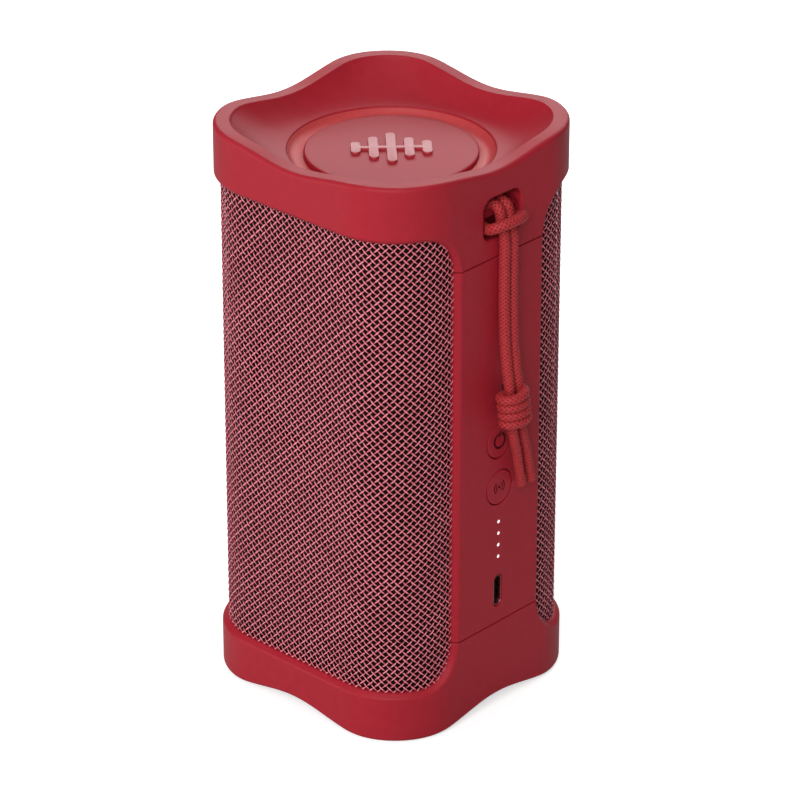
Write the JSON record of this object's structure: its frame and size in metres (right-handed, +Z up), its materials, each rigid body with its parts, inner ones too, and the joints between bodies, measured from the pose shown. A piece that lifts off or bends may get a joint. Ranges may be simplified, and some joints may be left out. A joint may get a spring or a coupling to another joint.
{
  "type": "party speaker",
  "caption": "Rounded-square tower party speaker with crowned end caps, wrapped woven grilles, a passive radiator at each end, a control spine and a knotted cord wrist strap.",
  "frame": {"origin": "centre of the base, at the level of the four feet of the lower cap", "axes": "+Z up along the tower; -Y is the front grille, +X the control spine with the strap, -X the spine with the volume keys"},
  "size_m": [0.0892, 0.08, 0.1659],
  "materials": {
    "soft_touch_shell": "matte soft-touch red moulding",
    "woven_mesh": "coarse plain weave, rose red, on the bias",
    "black_plastic": "matte black",
    "black_rubber": "matte black rubber roll",
    "cone_paper": "coated paper cone",
    "copper_coil": "enamelled copper wire",
    "steel": "satin steel",
    "cell_wrap": "shrink wrap",
    "circuit_board": "solder mask",
    "light_pipe": "white diffusing lens",
    "braided_cord": "braided polyester cord, bright red"
  },
  "bodies": {
    "cabinet": {"top_cap": "soft_touch_shell", "bottom_cap": "soft_touch_shell", "control_spine": "soft_touch_shell", "rear_spine": "soft_touch_shell", "top_radiator_surround": "soft_touch_shell", "bottom_radiator_surround": "soft_touch_shell", "strap_bar": "soft_touch_shell", "front_grille": "woven_mesh", "back_grille": "woven_mesh", "enclosure": "black_plastic", "top_radiator_frame": "black_plastic", "bottom_radiator_frame": "black_plastic", "front_driver_basket": "black_plastic", "rear_driver_basket": "black_plastic", "battery_tray": "black_plastic", "usb_c_tongue": "black_plastic", "power_switch": "black_plastic", "pairing_switch": "black_plastic", "volume_up_switch": "black_plastic", "play_switch": "black_plastic", "volume_down_switch": "black_plastic", "front_driver_surround": "black_rubber", "rear_driver_surround": "black_rubber", "front_driver_magnet": "steel", "rear_driver_magnet": "steel", "frame_screw_1": "steel", "frame_screw_2": "steel", "frame_screw_3": "steel", "frame_screw_4": "steel", "usb_c_shell": "steel", "battery_cell_a": "cell_wrap", "battery_cell_b": "cell_wrap", "main_board": "circuit_board", "control_board": "circuit_board", "key_board": "circuit_board", "led_light_pipe_1": "light_pipe", "led_light_pipe_2": "light_pipe", "led_light_pipe_3": "light_pipe", "led_light_pipe_4": "light_pipe", "strap_hitch": "braided_cord", "strap_bight": "braided_cord", "strap_strand_left": "braided_cord", "strap_strand_right": "braided_cord", "strap_knot": "braided_cord", "strap_tail_left": "braided_cord", "strap_tail_right": "braided_cord"},
    "power_key": {"power_button": "soft_touch_shell"},
    "pairing_key": {"pairing_button": "soft_touch_shell"},
    "volume_up_key": {"volume_up_button": "soft_touch_shell"},
    "play_key": {"play_button": "soft_touch_shell"},
    "volume_down_key": {"volume_down_button": "soft_touch_shell"},
    "top_radiator": {"top_radiator_plate": "soft_touch_shell", "top_radiator_emblem": "soft_touch_shell"},
    "bottom_radiator": {"bottom_radiator_plate": "soft_touch_shell"},
    "front_cone": {"front_driver_cone": "cone_paper", "front_driver_dust_cap": "cone_paper", "front_voice_coil": "copper_coil"},
    "rear_cone": {"rear_driver_cone": "cone_paper", "rear_driver_dust_cap": "cone_paper", "rear_voice_coil": "copper_coil"}
  },
  "joints": [
    {"name": "power_press", "type": "slide", "parent": "cabinet", "child": "power_key", "axis": [-1, 0, 0], "range_m": [0, 0.0006], "stiffness_N_per_m": 900, "springref_m": -0.0002},
    {"name": "pairing_press", "type": "slide", "parent": "cabinet", "child": "pairing_key", "axis": [-1, 0, 0], "range_m": [0, 0.0006], "stiffness_N_per_m": 900, "springref_m": -0.0002},
    {"name": "volume_up_press", "type": "slide", "parent": "cabinet", "child": "volume_up_key", "axis": [1, 0, 0], "range_m": [0, 0.0006], "stiffness_N_per_m": 900, "springref_m": -0.0002},
    {"name": "play_press", "type": "slide", "parent": "cabinet", "child": "play_key", "axis": [1, 0, 0], "range_m": [0, 0.0006], "stiffness_N_per_m": 900, "springref_m": -0.0002},
    {"name": "volume_down_press", "type": "slide", "parent": "cabinet", "child": "volume_down_key", "axis": [1, 0, 0], "range_m": [0, 0.0006], "stiffness_N_per_m": 900, "springref_m": -0.0002},
    {"name": "top_radiator_travel", "type": "slide", "parent": "cabinet", "child": "top_radiator", "axis": [0, 0, 1], "range_m": [-0.002, 0.002], "stiffness_N_per_m": 1500, "deforming": ["top_radiator_surround"]},
    {"name": "bottom_radiator_travel", "type": "slide", "parent": "cabinet", "child": "bottom_radiator", "axis": [0, 0, 1], "range_m": [-0.002, 0.002], "stiffness_N_per_m": 1500, "deforming": ["bottom_radiator_surround"]},
    {"name": "front_cone_travel", "type": "slide", "parent": "cabinet", "child": "front_cone", "axis": [0, -1, 0], "range_m": [-0.001, 0.001], "stiffness_N_per_m": 1500},
    {"name": "rear_cone_travel", "type": "slide", "parent": "cabinet", "child": "rear_cone", "axis": [0, 1, 0], "range_m": [-0.001, 0.001], "stiffness_N_per_m": 1500}
  ]
}
